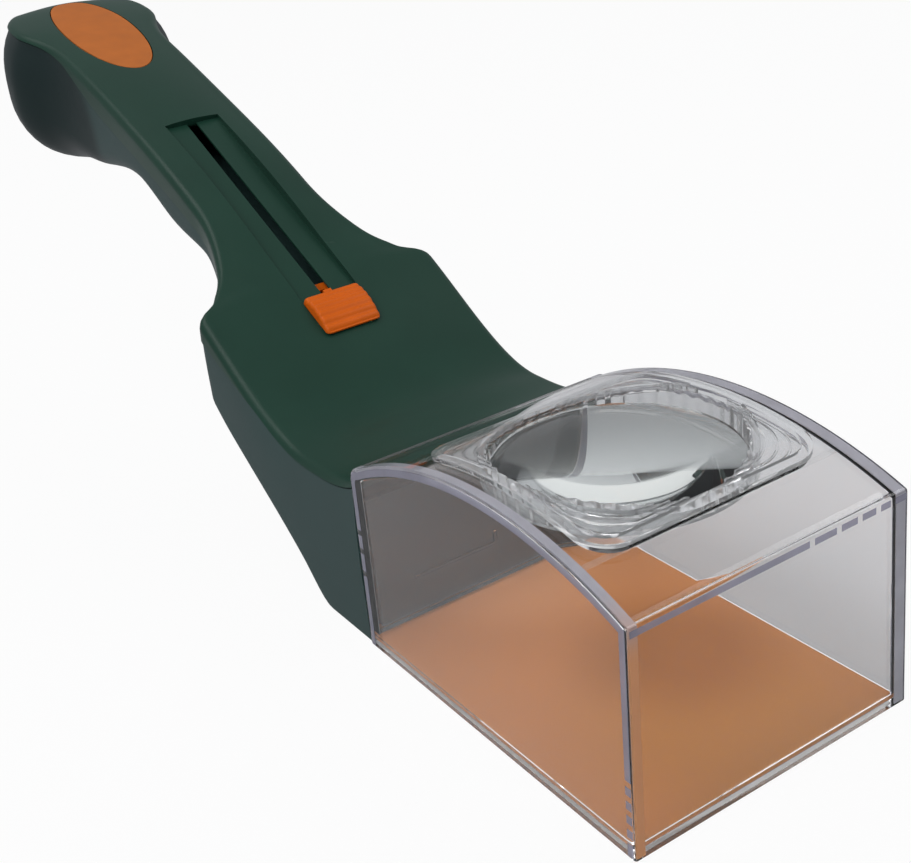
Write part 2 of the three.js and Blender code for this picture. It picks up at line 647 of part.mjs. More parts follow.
function makeUpperShell() {
  let shell = outer.subtract(hollow.subtract(padBed)).intersect(sideOfParting(GAP / 2, 140));
  shell = shell.add(tray);
  for (const [at, y] of shellScrews) {
    const foot = seatHeight(at) + SEAT + GAP;
    shell = shell.add(upright(BOSS / 2, -at, y, foot, topLine(at)).intersect(outer));
  }
  shell = shell.add(webs(guideHigh + GAP, 90, GUIDE_START, GUIDE_END));
  for (const y of guidePins) {
    const end = heightAt(guideLow, GUIDE_PIN_AT + GUIDE_PIN_RADIUS);
    shell = shell.add(upright(GUIDE_PIN_RADIUS, -GUIDE_PIN_AT, y, end, topLine(GUIDE_PIN_AT) - SHELL_WALL));
  }
  for (const [at, y] of shellScrews) {
    shell = shell.subtract(upright(holeRadius, -at, y, 0, seatHeight(at) + SCREW_LENGTH));
  }
  return shell.subtract(recess).subtract(slot).subtract(padPocket);
}

function makeLowerShell() {
  let shell = outer.subtract(hollow).intersect(sideOfParting(-GAP / 2, -5));
  for (const [at, y] of shellScrews) {
    const tube = upright(wellRadius + SHELL_WALL, -at, y, 0, seatHeight(at) + SEAT);
    shell = shell.add(tube.intersect(outer));
  }
  shell = shell.add(webs(-SHEET / 2 - SLIDE_GAP, -5, RAMP_START, SHOULDER_AT - 12));
  for (const [at, y] of shellScrews) {
    shell = shell.subtract(upright(wellRadius, -at, y, -5, seatHeight(at)));
    shell = shell.subtract(upright(holeRadius, -at, y, 0, partingHeight(at)));
  }
  return shell;
}

// Screw pointing up, with its head's underside at the origin
function screwGeometry() {
  const head = SCREW_HEAD / 2;
  const shank = SCREW_SHANK / 2;
  const outline = [
    [0, -SCREW_HEAD_HEIGHT + 0.6], [0.9, -SCREW_HEAD_HEIGHT + 0.6], [0.9, -SCREW_HEAD_HEIGHT],
    [head - 0.4, -SCREW_HEAD_HEIGHT], [head, -SCREW_HEAD_HEIGHT + 0.5], [head, 0],
    [shank, 0], [shank, SCREW_LENGTH - 1], [0.3, SCREW_LENGTH], [0, SCREW_LENGTH],
  ].map(([r, z]) => new THREE.Vector2(r, z));
  return surface(solid(new THREE.LatheGeometry(outline, 12).rotateX(Math.PI / 2)));
}

// Guide plate over the sheet, with holes for the upper shell's pins
function makeGuidePlate() {
  let plate = band(guideLow, guideHigh, GUIDE_START, GUIDE_END, -GUIDE_WIDTH / 2, GUIDE_WIDTH / 2);
  for (const y of guidePins) {
    plate = plate.subtract(upright(GUIDE_PIN_RADIUS + GAP, -GUIDE_PIN_AT, y, 0, topLine(GUIDE_PIN_AT)));
  }
  return plate;
}

// Slider button: a domed, ribbed cap on a stem with barbs under the shoe
function makeButton() {
  const back = -BUTTON_LENGTH / 2;
  const front = BUTTON_LENGTH / 2;
  const points = [[back, SLIDE_GAP], [front, SLIDE_GAP]];
  const steps = BUTTON_RIBS * 4;
  for (let i = 0; i <= steps; i++) {
    const t = 1 - i / steps;
    const x = back + (front - back) * t;
    const dome = BUTTON_BACK + (BUTTON_FRONT - BUTTON_BACK) * t + 4 * BUTTON_CREST * t * (1 - t);
    const groove = i > 0 && i < steps && i % 4 < 2 ? 0.35 : 0;
    points.push([x, SLIDE_GAP + dome - groove]);
  }
  const cap = sideProfile(points, -BUTTON_WIDTH / 2, BUTTON_WIDTH / 2).translate([buttonMiddle, 0, 0]);
  const stemBottom = hookTop - SHEET - GAP - BARB_HEIGHT;
  const stem = block(stemBack, stemFront, -stemHalf, stemHalf, stemBottom, SLIDE_GAP + 0.5);
  const barb = block(
    stemBack, stemBack + BARB_LENGTH, -BARB_WIDTH / 2, BARB_WIDTH / 2, stemBottom, stemBottom + BARB_HEIGHT,
  );
  return unite(cap, stem, barb);
}

const shoeFront = stemFront + 2;
function makeShoe() {
  const shoe = block(
    shoeFront - SHOE_LENGTH, shoeFront, -SHOE_WIDTH / 2, SHOE_WIDTH / 2, shoeTop - SHOE_THICKNESS, shoeTop,
  );
  const hole = SLIDE_GAP;
  return shoe.subtract(block(
    stemBack - hole, stemFront + hole, -stemHalf - hole, stemHalf + hole, -20, 0,
  ));
}

const hookFront = alongTrack(-routeEnd[0]) - GAP;
function makeHook() {
  const hook = block(
    shoeFront - SHOE_LENGTH - 1, hookFront, -STRAP_WIDTH / 2, STRAP_WIDTH / 2, hookTop - SHEET, hookTop,
  );
  const hole = SLIDE_GAP;
  return hook.subtract(block(
    stemBack - hole, stemFront + hole, -stemHalf - hole, stemHalf + hole, -20, 0,
  ));
}

// Assembly
function piece(name, shape, material) {
  const mesh = new THREE.Mesh(shape.isBufferGeometry ? shape : surface(shape), material);
  mesh.name = name;
  return mesh;
}

const tool = new THREE.Group();
tool.position.x = (HOUSING_LENGTH - BOX_LENGTH) / 2;
tool.add(
  piece('catch_box', makeCatchBox(), clear),
  piece('magnifier_lens', makeLens(), clear),
  piece('bulkhead', makeBulkhead(), darkGreen),
  piece('upper_shell', makeUpperShell(), green),
  piece('lower_shell', makeLowerShell(), darkGreen),
  piece('thumb_pad', pad, matteOrange),
  piece('guide_plate', makeGuidePlate(), guideGrey),
);

const doorFront = BOX_LENGTH - BOX_WALL + GROOVE_DEPTH - SLIDE_GAP;
tool.add(
  piece('trap_door_panel',
    block(-DOOR_TAIL, doorFront, -halfDoor, halfDoor, SHEET_HEIGHT, SHEET_HEIGHT + SHEET), doorOrange),
  piece('trap_door_strap',
    band(-SHEET / 2, SHEET / 2, 0, HOUSING_LENGTH, -STRAP_WIDTH / 2, STRAP_WIDTH / 2), doorOrange),
);

shellScrews.forEach(([at, y], i) => {
  const screw = piece(`shell_screw_${i + 1}`, screwGeometry(), steel);
  screw.position.set(-at, y, seatHeight(at) - GAP);
  tool.add(screw);
});

const slider = new THREE.Group();
slider.position.set(-TRACK_AT, 0, trackTop);
slider.rotation.y = TRACK_ANGLE;
slider.add(
  piece('slider_button', makeButton(), orange),
  piece('slider_shoe', makeShoe(), orange),
  piece('trap_door_hook', makeHook(), doorOrange),
);
tool.add(slider);

export default tool;
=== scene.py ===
"""Looks of the insect catcher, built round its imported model."""
import math

import bmesh
import bpy
from mathutils import Matrix, Vector


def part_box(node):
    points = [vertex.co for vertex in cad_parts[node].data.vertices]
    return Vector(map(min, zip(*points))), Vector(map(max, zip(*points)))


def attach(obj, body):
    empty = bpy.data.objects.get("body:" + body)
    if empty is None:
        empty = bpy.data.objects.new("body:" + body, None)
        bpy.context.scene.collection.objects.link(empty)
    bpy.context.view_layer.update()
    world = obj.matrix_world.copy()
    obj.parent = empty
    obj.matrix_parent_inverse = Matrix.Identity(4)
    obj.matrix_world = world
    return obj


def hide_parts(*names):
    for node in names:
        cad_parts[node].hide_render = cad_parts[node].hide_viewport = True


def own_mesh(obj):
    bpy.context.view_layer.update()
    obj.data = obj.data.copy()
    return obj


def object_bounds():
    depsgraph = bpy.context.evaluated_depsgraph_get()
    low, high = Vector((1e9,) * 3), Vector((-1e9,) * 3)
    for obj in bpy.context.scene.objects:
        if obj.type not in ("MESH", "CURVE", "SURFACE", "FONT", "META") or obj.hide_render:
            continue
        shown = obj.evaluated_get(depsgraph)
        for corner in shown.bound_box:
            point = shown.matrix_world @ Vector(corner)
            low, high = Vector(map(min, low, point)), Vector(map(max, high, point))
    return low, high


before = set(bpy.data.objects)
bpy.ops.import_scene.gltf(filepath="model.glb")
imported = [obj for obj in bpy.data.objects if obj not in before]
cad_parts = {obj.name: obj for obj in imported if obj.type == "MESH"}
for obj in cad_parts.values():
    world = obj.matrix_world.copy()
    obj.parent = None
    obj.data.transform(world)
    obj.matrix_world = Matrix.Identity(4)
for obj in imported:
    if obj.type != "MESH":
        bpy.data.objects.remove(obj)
cad_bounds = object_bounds()

MM = 0.001
GAP = 0.3              # between pieces that meet, in mm

# Where the cutting tools end, outside the part
UNDER = -5
UNDER_RIM = -1
OVER = 140
OVER_BOX = 90
ASIDE = 40
PAST = 5
PAST_STRIPS = 1

# Box, in mm from its back plane
BOX_LENGTH = 79.8
SHIFT = round(cad_bounds[1][0] / MM - BOX_LENGTH, 3)  # from the box's back to the frame's origin
BOX_HALF = 30.45
BOX_DRAFT = math.radians(1.5)
FRONT_HEIGHT = 42.1
BACK_HEIGHT = 37.9
ROOF_RISE = 9.1
BOX_WALL = 2.2
HALF_INSIDE = BOX_HALF - BOX_WALL
EDGE_ROUND = 0.5
INSIDE_ROUND = 0.5
BACK_ROUND = 3
BACK_RIDGE_ROOT = 0.3
BACK_RIDGE_HEIGHT = 0.5
BACK_RIDGES = [(-18.5, 1, 11.6, 12.2), (0.3, 1, 11.6, 14.5)]  # y and z spans, inside the back wall

# Grooves for the trap door
DOOR_LOW = 1.3
DOOR_HIGH = 2.1
GROOVE_DEPTH = 0.7
GROOVE_SLACK = 0.04
GROOVE_REACH = GROOVE_DEPTH - GAP + GROOVE_SLACK
DOORWAY_SLACK = 0.5

# Magnifier and its frame
WINDOW_CENTRE = 43
WINDOW_HALF = 25
WINDOW_CORNER = 7
WINDOW_FLOOR = 20      # the window's tools start here, over the trap door
LEDGE_WIDTH = 1.2
FRAME_SUNK = 0.95
FRAME_PROUD = 0.8
FRAME_ROUND = 0.5
BEAD_WIDTH = 1.9
DISH_RISE = 0.05
PICK_SLACK = 0.05      # leeway when the frame's faces are picked
LINES = 3              # fine sunk lines round the magnifier's well
LINE_MARGIN = 0.5
LINE_PITCH = 0.9
LINE_TURN = 2          # how much rounder each line's corners are than the last one's
LINE_WIDTH = 0.4
LINE_DEPTH = 0.3       # under the roof's own surface
LENS_RADIUS = 22.3
LENS_DROP = 4.9
LENS_SLACK = 0.45
LENS_RIM = 1.2         # half the thickness of the lens at its rim
LENS_TIP = 0.05
DOME_OVER = 3
DOME_UNDER = 2
DOME_STEPS = 16
LENS_SIDES = 120
WELL_WALL = 1.4
WELL_SIDES = 144
FLUTES = 48
FLUTE_HEIGHT = 0.25
FLUTE_INSET = 0.1

# Violet bands along the edges of the side walls and the front, with short breaks: painted light, standing for
# the clear walls' edges seen through their thickness
SIDE_BAND = 1.9
FRONT_BAND = 1.6
BAND_STEP = 0.03       # how far the rest of a wall lies behind its bands
DASH_GAP = 1.1
DASH_REACH = 3
DASH_LOW = 30          # of the breaks in the front's band
FRONT_DASHES = [7, 12.9, 17.6, 21.8, 25.2]
SIDE_DASHES = [(BOX_LENGTH, 3 + 2.7 * k) for k in range(5)] + [(0, 16), (0, 21), (0, 25)]

# Pale strips inside the walls' ends, under the roof and behind the front
STRIP_INSET = 0.3
STRIP_THICKNESS = 0.3
STRIP_MARGIN = 0.1
STRIP_FOOT = 0.5

# Housing, by distance behind the box
HOUSING_LENGTH = 205.5
TOP_LENGTH = 201.5
FOOT_LENGTH = 16.5
SHOULDER_AT = 62
NECK_AT = 90
GRIP_AT = 125
POMMEL_AT = 183
POMMEL_HEIGHT = 102.5
POMMEL_BOTTOM = 66.3
BOTTOM_TURN = POMMEL_AT - 5
BACK_START = 198.5     # where the top begins to round over the back end
BACK_SHARE = 0.62      # of the width there, at least, along the top
TAIL_LIFT = 4          # of the hindmost point over the pommel's middle height
TAIL_MIDDLE = (POMMEL_BOTTOM + POMMEL_HEIGHT) / 2 + TAIL_LIFT
HIGHEST = math.floor(cad_bounds[1][2] / MM * 10) / 10  # the finer skin would pass the part's height by a hair
SHELL_WALL = 1.3
TOP_ROUND = 2.3
SIDE_CURVE = 3.17
LEAST = 0.6            # half width or radius that a wall leaves
STEEPEST = 1.6
ROUND_OF_HEIGHT = 0.45
ROUND_OF_HALF = 0.9
STRIDE = 1.6           # between the rings of the skin, closer at the shoulders and the back end
SHOULDER_STRIDE = 0.8
END_STRIDE = 0.12
LAST_STRIDE = 0.08
LOWER_INSET = 0.3      # the upper shell's skirt stands proud of the lower shell
LIP_WALL = 0.7         # a lip of the lower shell inside the upper one
LIP_HEIGHT = 1.2
LIP_OVERLAP = 0.1

# Screws from below
PARTING_DROP = 6
PARTING_SHARE = 0.55
SEAT_DEPTH = 9
SEAT = 1.5
WELL_RADIUS = 2.8
HOLE_RADIUS = 1.55
SHELL_SCREWS = [(58, -21.5), (58, 21.5), (133, 0), (184, 0)]

# Track and slider
TRACK_ANGLE = math.radians(26.4)
TRACK_AT = 62.3
TRACK_DEPTH = 1.5
TRAVEL = 65
CHANNEL_HALF = 7.15
TRACK_FLOOR = 1.8
TRAY_WALL = 1.4
TRAY_HEIGHT = 30
SLOT_HALF = 1.3
SLOT_LIP = 0.5         # thickness of the slot's edges, which are undercut
UNDERCUT = 2
UNDERCUT_DEPTH = 4
STEM_AT = 56.8
STEM_LENGTH = 7.6
STEM_CUT = 2.6         # the part of the stem behind the button that doesn't show
STEM_DEPTH = 2.5
TAB = 2.4              # what shows of the shoe and the sheet's end behind the stem
BUTTON_AT = 51.7
BUTTON_LENGTH = 11.4
BUTTON_HALF = 6.85
BUTTON_BACK = 1.4
BUTTON_FRONT = 0.5
BUTTON_CREST = 1.5
BUTTON_ROUND = 1
BUTTON_STEPS = 96
CAP_ROUND = 0.9
CAP_LEAST = 0.35
RIBS = 6
RIB_DEPTH = 0.22

# Thumb pad
PAD_AT = 172
PAD_HALF_LENGTH = 26
PAD_HALF_WIDTH = 9.4
PAD_THICKNESS = 1.6
PAD_LOW = 90
PAD_HIGH = 120

# Lines of the housing as (distance behind the box, value, slope): its top and bottom, half its width
# along the top, how much wider it is below, the rise of its crown, the radius along its bottom edge,
# the thickness of its floor and the drop of the seam from the top
TOP = [(0, 36, -0.45), (20, 33.2, 0), (SHOULDER_AT, 53.1, 0.55), (NECK_AT, 69.2, 0.5),
       (GRIP_AT, 84, 0.375), (POMMEL_AT, POMMEL_HEIGHT, 0.22), (HOUSING_LENGTH, 107, 0.2)]
BOTTOM = [(0, 0, 0), (FOOT_LENGTH, 0, 0), (27, 7.8, 0.78), (54, 26.2, 0.7), (86, 54.6, 0.5),
          (107, 61, 0.42), (GRIP_AT, 68.8, 0.2), (142, 69.4, -0.08), (BOTTOM_TURN, POMMEL_BOTTOM, -0.05)]
WIDTH = [(0, 29.46, 0), (60.5, 30.05, 0), (63.4, 27.05, -2.2), (67, 22.9, -0.95), (74, 18.5, -0.4),
         (NECK_AT, 15.1, 0), (155, 15.2, 0.02), (172, 16.9, 0.3), (POMMEL_AT, 20.3, 0)]
FLARE = [(0, 0.99, 0), (SHOULDER_AT, 0.4, 0), (NECK_AT, 0, 0), (150, 0, 0), (POMMEL_AT, 4, 0.1)]
CROWN = [(0, 0.3, 0), (20, 1.8, 0), (SHOULDER_AT, 1.8, 0), (NECK_AT, 1.2, 0), (GRIP_AT, 1.5, 0),
         (POMMEL_AT, 0.8, 0)]
BOTTOM_ROUND = [(0, 1, 0), (FOOT_LENGTH, 1, 0), (SHOULDER_AT, 2.5, 0), (NECK_AT, 4, 0), (150, 5, 0),
                (POMMEL_AT, 16, 0)]
FLOOR = [(0, 1, 0), (FOOT_LENGTH, 1, 0), (27, SHELL_WALL, 0)]
SEAM_DROP = [(0, 1.6, 0), (36, 1.6, 0), (SHOULDER_AT, 5, 0.08), (NECK_AT, 6.4, 0.03), (120, 7.2, 0),
             (146, 6.6, -0.1), (164, 2.2, -0.1), (184, 1.4, 0)]

# Finish
FINE_SCALE = 2500
FINE_DEPTH = 0.00005
CLEAR_IOR = 1.4

# Setting, in metres; the camera's sensor and lens are in mm, and its turn is in degrees
STAGE_SIZE = 4
STAGE_DROP = -0.0003
WHITE_SHARE = 0.94
GLASS_SHARE = 0.12     # of the white that is seen through the clear plastic
WORLD_STRENGTH = 0.5
MIDDLE = (0, 0, 0.05)
SENSOR = 36
FOCAL_LENGTH = 54.39
EYE_AT = (0.27051, -0.12957, 0.15178)
EYE_TURN = (64.6103, 6.2088, 56.1888)


def smooth(stations, at):
    """A smooth line through (place, value, slope) stations."""
    if at <= stations[0][0]:
        return stations[0][1]
    if at >= stations[-1][0]:
        return stations[-1][1]
    i = next(k for k, row in enumerate(stations) if row[0] >= at) - 1
    a, va, ma = stations[i]
    b, vb, mb = stations[i + 1]
    h = b - a
    t = (at - a) / h
    rise = t * t * (3 - 2 * t)
    return va * (1 - rise) + vb * rise + h * ma * t * (1 - t) ** 2 + h * mb * t * t * (t - 1)


def tail(at, power, end=HOUSING_LENGTH, start=POMMEL_AT):
    """Falls from 1 to 0 between two places, the more abruptly the higher the power."""
    t = min(max((at - start) / (end - start), 0), 1)
    return (1 - t ** power) ** (1 / power)


def top_line(at):
    fall = tail(at, 5) * tail(at, 2.2, start=BACK_START)
    return TAIL_MIDDLE + (smooth(TOP, at) - TAIL_MIDDLE) * fall


def bottom_line(at):
    if at < BOTTOM_TURN:
        return smooth(BOTTOM, at)
    return TAIL_MIDDLE - (TAIL_MIDDLE - POMMEL_BOTTOM) * tail(at, 2, start=BOTTOM_TURN)


def middle_half(at):
    """Half the width where the housing is widest."""
    return (smooth(WIDTH, at) + smooth(FLARE, at)) * tail(at, 2.4)


def top_half(at):
    """Half the width along the top."""
    half = smooth(WIDTH, at) * tail(at, 2.8, TOP_LENGTH)
    return max(half, middle_half(at) * BACK_SHARE) if at > BACK_START else half


def parting(at):
    """Where the shells' bosses meet."""
    deep = bottom_line(at) + (top_line(at) - bottom_line(at)) * PARTING_SHARE
    return max(top_line(at) - PARTING_DROP, deep)


def seam(at):
    """Where the shells are seen to meet."""
    return top_line(at) - smooth(SEAM_DROP, at)


def steep(line, at):
    """How much a wall along a sloping line grows, measured upright."""
    return min(math.hypot(1, line(at + 0.5) - line(at - 0.5)), STEEPEST)


def quarter(steps):
    """Angles of a quarter turn."""
    return [i / steps * math.pi / 2 for i in range(steps + 1)]


def full_turn(count):
    return [2 * math.pi * i / count for i in range(count)]


def section(at, wall, floor=None):
    """One cross-section of the housing as (y, z) points, taken in by a wall."""
    floor = wall if floor is None else floor
    half = max(top_half(at) - wall, LEAST)
    wide = max(middle_half(at) - wall, LEAST)
    crown = smooth(CROWN, at)
    top = min(top_line(at), HIGHEST - crown) - wall * steep(top_line, at)
    bottom = bottom_line(at) + floor * steep(bottom_line, at)
    room = (top - bottom) * ROUND_OF_HEIGHT
    top_round = min(max(TOP_ROUND - wall, LEAST), room, half * ROUND_OF_HALF)
    bottom_round = min(max(smooth(BOTTOM_ROUND, at) - wall, LEAST), room, wide * ROUND_OF_HALF)
    side = [(0, bottom), ((wide - bottom_round) / 2, bottom)]
    for a in quarter(10):
        side.append((wide - bottom_round * (1 - math.sin(a)), bottom + bottom_round * (1 - math.cos(a))))
    low = bottom + bottom_round
    rise = top - top_round - low
    for i in range(1, 7):
        t = i / 7
        side.append((wide + (half - wide) * t ** SIDE_CURVE, low + rise * t))
    for a in quarter(8):
        side.append((half - top_round * (1 - math.cos(a)), top - top_round * (1 - math.sin(a))))
    edge = half - top_round
    for i in range(1, 8):
        y = edge * (1 - i / 8)
        side.append((y, top + crown * (1 - (y / edge) ** 2)))
    side.append((0, top + crown))
    return side + [(-y, z) for y, z in reversed(side[1:-1])]


def places(start, end, stride=STRIDE):
    """Places for rings, closer at the shoulders and closer still towards the pommel's end."""
    found = [start]
    while found[-1] < end:
        at = found[-1]
        step = SHOULDER_STRIDE if SHOULDER_AT - 5 < at < SHOULDER_AT + 10 else stride
        if at > POMMEL_AT:
            step = min(max((end - at) / 6, END_STRIDE), 1)
        at = min(at + step, end)
        found.append(end if end - at < LAST_STRIDE else at)
    return found


# Meshes
def link(name, data):
    """A new object of a mesh, light or camera, in the scene."""
    made = bpy.data.objects.new(name, data)
    bpy.context.scene.collection.objects.link(made)
    return made


def new_object(name, points, faces):
    """An object of points given in mm from the back of the box."""
    mesh = bpy.data.meshes.new(name)
    mesh.from_pydata([((x + SHIFT) * MM, y * MM, z * MM) for x, y, z in points], [], faces)
    mesh.update()
    return link(name, mesh)


def loft(name, rings):
    """A skin through rings of (x, y, z) points, with its ends closed."""
    count = len(rings[0])
    points = [p for ring in rings for p in ring]
    faces = []
    for i in range(len(rings) - 1):
        for j in range(count):
            k = (j + 1) % count
            faces.append((i * count + j, i * count + k, (i + 1) * count + k, (i + 1) * count + j))
    faces.append(tuple(reversed(range(count))))
    faces.append(tuple((len(rings) - 1) * count + j for j in range(count)))
    made = new_object(name, points, faces)
    work = bmesh.new()
    work.from_mesh(made.data)
    bmesh.ops.recalc_face_normals(work, faces=work.faces)
    work.to_mesh(made.data)
    work.free()
    return made


def extruded(name, outline, low, high, to_point):
    """A flat outline drawn out between two values; to_point makes (x, y, z) of (u, v, w)."""
    return loft(name, [[to_point(u, v, w) for u, v in outline] for w in (low, high)])


def side_profile(name, outline, low, high):
    return extruded(name, outline, low, high, lambda x, z, y: (x, y, z))


def plan_profile(name, outline, low, high):
    return extruded(name, outline, low, high, lambda x, y, z: (x, y, z))


def box_of(name, x0, x1, y0, y1, z0, z1):
    return plan_profile(name, [(x0, y0), (x1, y0), (x1, y1), (x0, y1)], z0, z1)


def upright(name, radius, x, y, z0, z1, count=48):
    """A round pin that stands upright."""
    outline = [(x + radius * math.cos(a), y + radius * math.sin(a)) for a in full_turn(count)]
    return plan_profile(name, outline, z0, z1)


def settle(made):
    """Applies the modifiers to the mesh."""
    graph = bpy.context.evaluated_depsgraph_get()
    mesh = bpy.data.meshes.new_from_object(made.evaluated_get(graph), preserve_all_data_layers=True,
                                           depsgraph=graph)
    mesh.name = made.name
    made.modifiers.clear()
    made.data = mesh


def combine(target, tool, operation, keep):
    """Joins, cuts or intersects a mesh with a tool, which is removed unless it is kept."""
    modifier = target.modifiers.new("combine", "BOOLEAN")
    modifier.operation = operation
    modifier.solver = "MANIFOLD"
    modifier.object = tool
    settle(target)
    if not keep:
        bpy.data.objects.remove(tool)
    return target


def cut(target, tool, keep=False):
    return combine(target, tool, "DIFFERENCE", keep)


def join(target, tool):
    return combine(target, tool, "UNION", False)


def common(target, tool, keep=False):
    return combine(target, tool, "INTERSECT", keep)


def copy_of(made, name):
    return link(name, made.data.copy())


def soften(made, angle=32):
    """Smooth shading up to an angle in degrees, and sharp edges past it."""
    made.data.shade_smooth()
    made.data.set_sharp_from_angle(angle=math.radians(angle))


def even_normals(made, angle):
    """Smooth shading that keeps the flat faces flat."""
    soften(made, angle)
    modifier = made.modifiers.new("normals", "WEIGHTED_NORMAL")
    modifier.keep_sharp = True
    modifier.weight = 100
    settle(made)


def bevel(made, width, segments=3):
    """Rounds the edges that turn by more than 30 degrees."""
    modifier = made.modifiers.new("bevel", "BEVEL")
    modifier.width = width * MM
    modifier.segments = segments
    modifier.limit_method = "ANGLE"
    modifier.angle_limit = math.radians(30)
    modifier.use_clamp_overlap = True
    settle(made)


# Materials
def make_material(name, color, roughness, **settings):
    material = bpy.data.materials.new(name)
    material.use_nodes = True
    shader = material.node_tree.nodes["Principled BSDF"]
    shader.inputs["Base Color"].default_value = (*color, 1)
    shader.inputs["Roughness"].default_value = roughness
    for key, value in settings.items():
        shader.inputs[key.replace("_", " ")].default_value = value
    return material


def noise_of(material, scale, detail):
    """Noise in the object's own space; gives its node."""
    nodes = material.node_tree.nodes
    where = nodes.new("ShaderNodeTexCoord")
    noise = nodes.new("ShaderNodeTexNoise")
    noise.inputs["Scale"].default_value = scale
    noise.inputs["Detail"].default_value = detail
    material.node_tree.links.new(where.outputs["Object"], noise.inputs["Vector"])
    return noise


def spread_roughness(material, noise, low, high):
    """Runs the roughness between two values."""
    spans = material.node_tree.nodes.new("ShaderNodeMapRange")
    spans.inputs["To Min"].default_value = low
    spans.inputs["To Max"].default_value = high
    links = material.node_tree.links
    links.new(noise.outputs["Fac"], spans.inputs["Value"])
    links.new(spans.outputs["Result"], material.node_tree.nodes["Principled BSDF"].inputs["Roughness"])


def grain(material, color, spread, scale, bump, roughness):
    """Mottles the colour and roughness and adds a fine moulded texture."""
    nodes = material.node_tree.nodes
    links = material.node_tree.links
    shader = nodes["Principled BSDF"]
    noise = noise_of(material, scale, 4)
    ramp = nodes.new("ShaderNodeValToRGB")
    for element, place, side in zip(ramp.color_ramp.elements, (0.3, 0.7), (-1, 1)):
        element.position = place
        element.color = (*[c * (1 + side * spread) for c in color], 1)
    links.new(noise.outputs["Fac"], ramp.inputs["Fac"])
    links.new(ramp.outputs["Color"], shader.inputs["Base Color"])
    spread_roughness(material, noise, *roughness)
    fine = noise_of(material, FINE_SCALE, 2)
    lift = nodes.new("ShaderNodeBump")
    lift.inputs["Strength"].default_value = bump
    lift.inputs["Distance"].default_value = FINE_DEPTH
    links.new(fine.outputs["Fac"], lift.inputs["Height"])
    links.new(lift.outputs["Normal"], shader.inputs["Normal"])
    return material


def patch(material, centre, radius, color, solid=0.25):
    """Blends another colour in round a place, given in mm from the back of the box."""
    nodes = material.node_tree.nodes
    links = material.node_tree.links
    target = nodes["Principled BSDF"].inputs["Base Color"]
    under = target.links[0].from_socket
    where = nodes.new("ShaderNodeTexCoord")
    apart = nodes.new("ShaderNodeVectorMath")
    apart.operation = "DISTANCE"
    apart.inputs[1].default_value = ((centre[0] + SHIFT) * MM, centre[1] * MM, centre[2] * MM)
    links.new(where.outputs["Object"], apart.inputs[0])
    fade = nodes.new("ShaderNodeMapRange")
    fade.interpolation_type = "SMOOTHSTEP"
    fade.inputs["From Min"].default_value = radius * solid * MM
    fade.inputs["From Max"].default_value = radius * MM
    fade.inputs["To Min"].default_value = 1
    fade.inputs["To Max"].default_value = 0
    links.new(apart.outputs["Value"], fade.inputs["Value"])
    # A Mix node's sockets share their names, so those for colours are taken by number
    mix = nodes.new("ShaderNodeMix")
    mix.data_type = "RGBA"
    links.new(fade.outputs["Result"], mix.inputs[0])
    links.new(under, mix.inputs[6])
    mix.inputs[7].default_value = (*color, 1)
    links.new(mix.outputs[2], target)


def plastic(name, color, roughness, specular, spread=0.06, scale=60, bump=0.2, **settings):
    middle = sum(roughness) / 2
    made = make_material(name, color, middle, Specular_IOR_Level=specular, **settings)
    return grain(made, color, spread, scale, bump, roughness)


def clear(name, color, transmission, roughness):
    made = make_material(name, color, roughness[1], Transmission_Weight=transmission, IOR=CLEAR_IOR)
    spread_roughness(made, noise_of(made, 90, 3), *roughness)
    return made


green = plastic("green_plastic", (0.0068, 0.0295, 0.0190), (0.34, 0.42), 0.2, bump=0.1)
dark_green = plastic("dark_green_plastic", (0.0215, 0.0435, 0.0415), (0.4, 0.5), 0.15)
# Painted shade: a darker patch round the pommel's bulb, where its back and underside turn away from the light
patch(dark_green, (-192, 0, 72), 49, (0.007, 0.015, 0.015), 0.85)
orange = plastic("orange_plastic", (0.455, 0.08, 0.003), (0.36, 0.46), 0.12, scale=150)
pad_orange = plastic("orange_pad", (0.345, 0.101, 0.021), (0.55, 0.7), 0.12, scale=220, bump=0.4)
door_sheet = plastic("door_sheet", (0.53, 0.183, 0.038), (0.4, 0.5), 0.2, spread=0.04, scale=30, bump=0.1)
# Painted light and shade on the door: two darker patches under the magnifier and towards the front stand for
# shade, and a lighter one by the back wall for light gathered by the lens
patch(door_sheet, (66, 4, 2), 38, (0.46, 0.165, 0.018))
patch(door_sheet, (44, 11, 2), 26, (0.35, 0.105, 0.004))
patch(door_sheet, (2, 4, 2), 26, (0.68, 0.27, 0.09))
inner_plastic = plastic("inner_plastic", (0.034, 0.045, 0.047), (0.5, 0.6), 0.3, spread=0.03, bump=0.05)
screw_steel = plastic("screw_steel", (0.62, 0.62, 0.64), (0.25, 0.4), 0.5, scale=400, Metallic=1.0)
# Painted light: the violet of the bands, standing for the clear walls' edges seen through their thickness
edge_violet = plastic("clear_edge", (0.23, 0.225, 0.29), (0.15, 0.3), 0.4, spread=0.12, scale=120,
                      bump=0.05, Transmission_Weight=0.35, IOR=CLEAR_IOR)
edge_pale = plastic("clear_end", (0.34, 0.335, 0.38), (0.25, 0.4), 0.3, spread=0.12, scale=120, bump=0.05)
# Painted light: the door's orange as it shows through the near front corner, laid on that corner's strip
patch(edge_pale, (80, -30, 12), 34, (0.56, 0.25, 0.10), 0.7)
clear_plastic = clear("clear_plastic", (0.955, 0.96, 0.965), 1.0, (0.0, 0.04))
lens_plastic = clear("lens_plastic", (0.75, 0.785, 0.78), 1.0, (0.0, 0.03))
frame_plastic = clear("frame_plastic", (0.80, 0.81, 0.82), 0.88, (0.01, 0.08))


def coat(mesh, material):
    mesh.materials.clear()
    mesh.materials.append(material)


def dress(made, material, slot, body, *replaced):
    """Gives a piece its material, its body and the nodes it stands for; its record slot is not used."""
    coat(made.data, material)
    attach(made, body)
    if replaced:
        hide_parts(*replaced)


